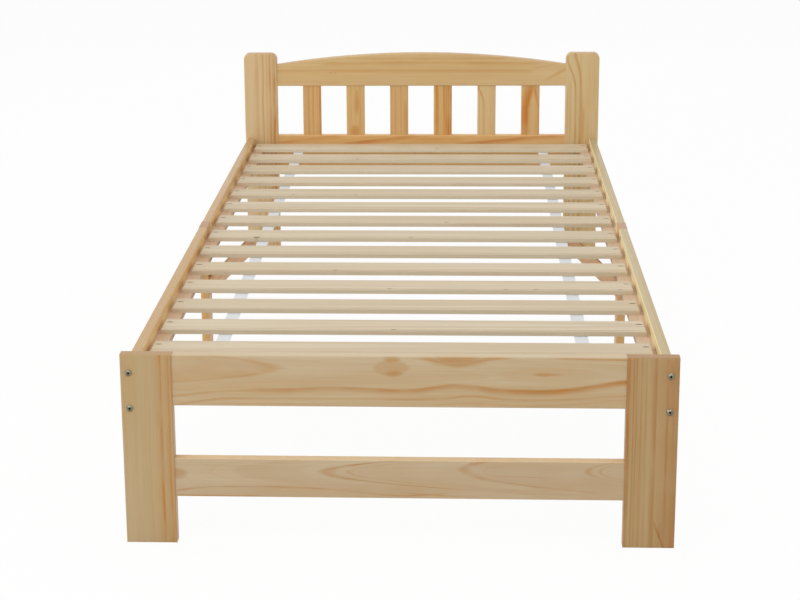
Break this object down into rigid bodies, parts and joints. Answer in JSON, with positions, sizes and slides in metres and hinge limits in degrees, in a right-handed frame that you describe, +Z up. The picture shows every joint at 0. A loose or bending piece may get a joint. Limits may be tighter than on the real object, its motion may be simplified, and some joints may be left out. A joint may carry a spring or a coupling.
{
  "type": "single bed frame",
  "caption": "Single pine bed frame with an arched spindle headboard, a low foot frame, split side rails on braced middle posts, and slats on ledges tied by two straps.",
  "frame": {"origin": "on the floor under the middle of the bed", "axes": "+X to the right as seen from the foot, +Y from the foot towards the head, +Z up"},
  "size_m": [0.955, 2.0628, 0.557],
  "materials": {
    "frame_pine": "clear satin lacquer over knotty pine",
    "slat_pine": "planed, untreated pine",
    "strap_webbing": "woven white webbing",
    "zinc_steel": "bright zinc plating",
    "dowel_beech": "plain fluted beech"
  },
  "bodies": {
    "root": {"foot_leg_left": "frame_pine", "foot_leg_right": "frame_pine", "foot_top_rail": "frame_pine", "foot_lower_rail": "frame_pine", "head_post_left": "frame_pine", "head_post_right": "frame_pine", "headboard_top_rail": "frame_pine", "headboard_lower_rail": "frame_pine", "headboard_spindle_1": "frame_pine", "headboard_spindle_2": "frame_pine", "headboard_spindle_3": "frame_pine", "headboard_spindle_4": "frame_pine", "headboard_spindle_5": "frame_pine", "headboard_spindle_6": "frame_pine", "side_rail_foot_left": "frame_pine", "side_rail_foot_right": "frame_pine", "side_rail_head_left": "frame_pine", "side_rail_head_right": "frame_pine", "mid_post_left": "frame_pine", "mid_post_right": "frame_pine", "mid_brace_left": "frame_pine", "mid_brace_right": "frame_pine", "slat_01": "slat_pine", "slat_02": "slat_pine", "slat_03": "slat_pine", "slat_04": "slat_pine", "slat_05": "slat_pine", "slat_06": "slat_pine", "slat_07": "slat_pine", "slat_08": "slat_pine", "slat_09": "slat_pine", "slat_10": "slat_pine", "slat_11": "slat_pine", "slat_12": "slat_pine", "slat_13": "slat_pine", "slat_14": "slat_pine", "slat_ledge_foot_left": "slat_pine", "slat_ledge_foot_right": "slat_pine", "slat_ledge_head_left": "slat_pine", "slat_ledge_head_right": "slat_pine", "slat_strap_left": "strap_webbing", "slat_strap_right": "strap_webbing", "foot_bolts": "zinc_steel", "head_bolts": "zinc_steel", "mid_joint_rods": "zinc_steel", "barrel_nuts": "zinc_steel", "slat_staples": "zinc_steel", "ledge_screws": "zinc_steel", "brace_post_screws": "zinc_steel", "brace_slat_screws": "zinc_steel", "frame_dowels": "dowel_beech", "spindle_dowels": "dowel_beech"}
  },
  "joints": []
}
